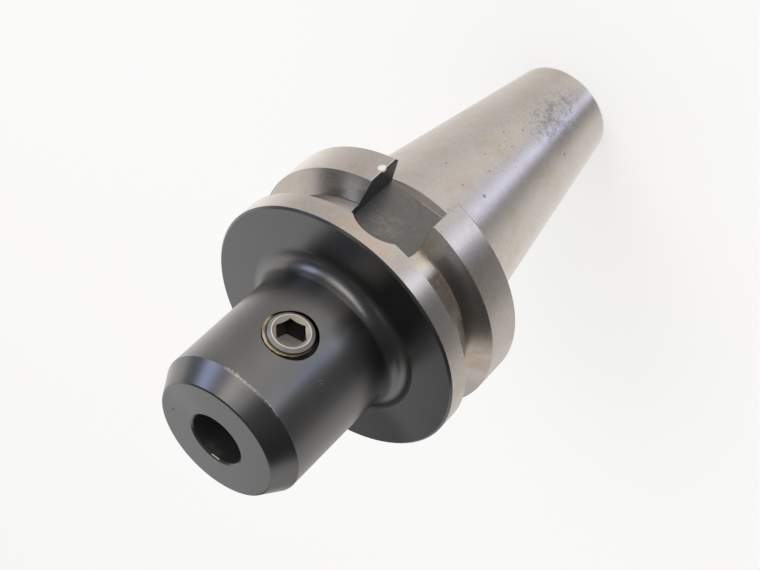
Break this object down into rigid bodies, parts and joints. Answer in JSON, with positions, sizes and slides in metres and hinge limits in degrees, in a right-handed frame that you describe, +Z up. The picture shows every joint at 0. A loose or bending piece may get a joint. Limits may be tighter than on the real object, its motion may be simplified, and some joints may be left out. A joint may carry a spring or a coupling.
{
  "type": "side lock end mill holder",
  "caption": "Steep-taper tool holder with a grooved drive flange and a short cylindrical nose, whose plain bore clamps an end mill shank with a side screw.",
  "frame": {"origin": "centre of the gauge line, the circle where the taper measures 44.45 mm, on the tool axis", "axes": "+Z up the tool axis to the nose and out of the tool bore; -Y through the clamp screw and the drive keyway below it; +X completes a right-handed set"},
  "size_m": [0.063, 0.063, 0.1304],
  "materials": {
    "holder_steel": "ground bright on the taper and flange rings, black oxide on the nose and flange front",
    "screw_steel": "bare hardened steel with oily threads"
  },
  "bodies": {
    "holder": {"holder_body": "holder_steel"},
    "screw": {"clamp_screw": "screw_steel"}
  },
  "joints": [
    {"name": "screw_travel", "type": "slide", "parent": "holder", "child": "screw", "axis": [0, -1, 0], "range_m": [-0.0035, 0.01225]}
  ]
}
